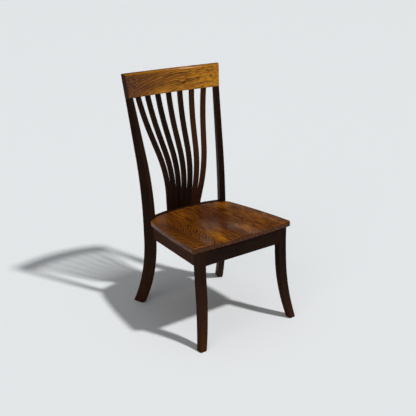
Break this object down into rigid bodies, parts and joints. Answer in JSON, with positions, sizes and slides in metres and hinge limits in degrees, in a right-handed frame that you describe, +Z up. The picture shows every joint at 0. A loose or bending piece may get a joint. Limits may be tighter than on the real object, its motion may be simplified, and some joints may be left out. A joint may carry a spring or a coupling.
{
  "type": "slat back dining chair",
  "caption": "Wooden dining chair with a bowed crest rail, fanned lumbar slats drawn together at the seat, toed-in curved rear posts, a solid saddle seat and sabre front legs.",
  "frame": {"origin": "on the floor, under the middle of the whole chair's bounding box", "axes": "+Z up, the chair faces -Y, +X to the right as seen from the front"},
  "size_m": [0.5198, 0.6484, 1.0606],
  "materials": {
    "figured_wood": "figured hardwood, brown stain under gloss lacquer",
    "frame_wood": "hardwood, dark espresso stain under satin lacquer",
    "block_wood": "plain sawn hardwood, unfinished",
    "screw_steel": "zinc plated steel"
  },
  "bodies": {
    "root": {"crest_rail": "figured_wood", "seat": "figured_wood", "rear_post_left": "frame_wood", "rear_post_right": "frame_wood", "front_leg_left": "frame_wood", "front_leg_right": "frame_wood", "front_rail": "frame_wood", "side_rail_left": "frame_wood", "side_rail_right": "frame_wood", "back_rail": "frame_wood", "slat_1": "frame_wood", "slat_2": "frame_wood", "slat_3": "frame_wood", "slat_4": "frame_wood", "slat_5": "frame_wood", "slat_6": "frame_wood", "slat_7": "frame_wood", "front_corner_block_left": "block_wood", "front_corner_block_right": "block_wood", "rear_corner_block_left": "block_wood", "rear_corner_block_right": "block_wood", "screws": "screw_steel"}
  },
  "joints": []
}
